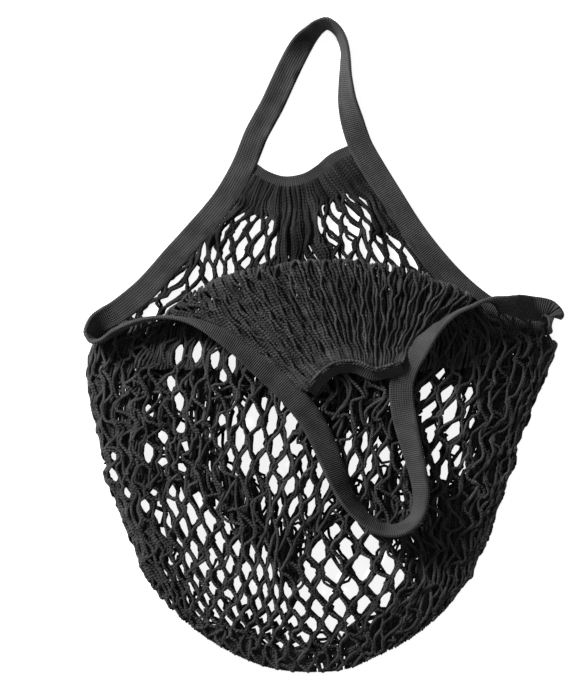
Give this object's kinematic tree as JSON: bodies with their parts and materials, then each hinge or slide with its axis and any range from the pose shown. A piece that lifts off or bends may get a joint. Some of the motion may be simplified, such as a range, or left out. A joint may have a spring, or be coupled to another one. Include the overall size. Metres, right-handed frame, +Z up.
{
  "type": "string shopping bag",
  "caption": "Knotted net shopping bag with a knitted tape rim that runs on into its two handles, lying flat with the front panel folded over.",
  "frame": {"origin": "on the floor under the middle of the bag's bounding box", "axes": "+X across the bag, +Y from the bottom of the net to the top of the back handle, +Z up from the floor"},
  "size_m": [0.3808, 0.5254, 0.0443],
  "materials": {
    "tape_cotton": "matt knitted cotton rib",
    "net_cotton": "matt twisted cotton yarn"
  },
  "bodies": {
    "root": {"rim_tape": "tape_cotton", "back_gather_band": "tape_cotton", "front_gather_band": "tape_cotton", "back_net": "net_cotton", "front_net": "net_cotton"}
  },
  "joints": []
}
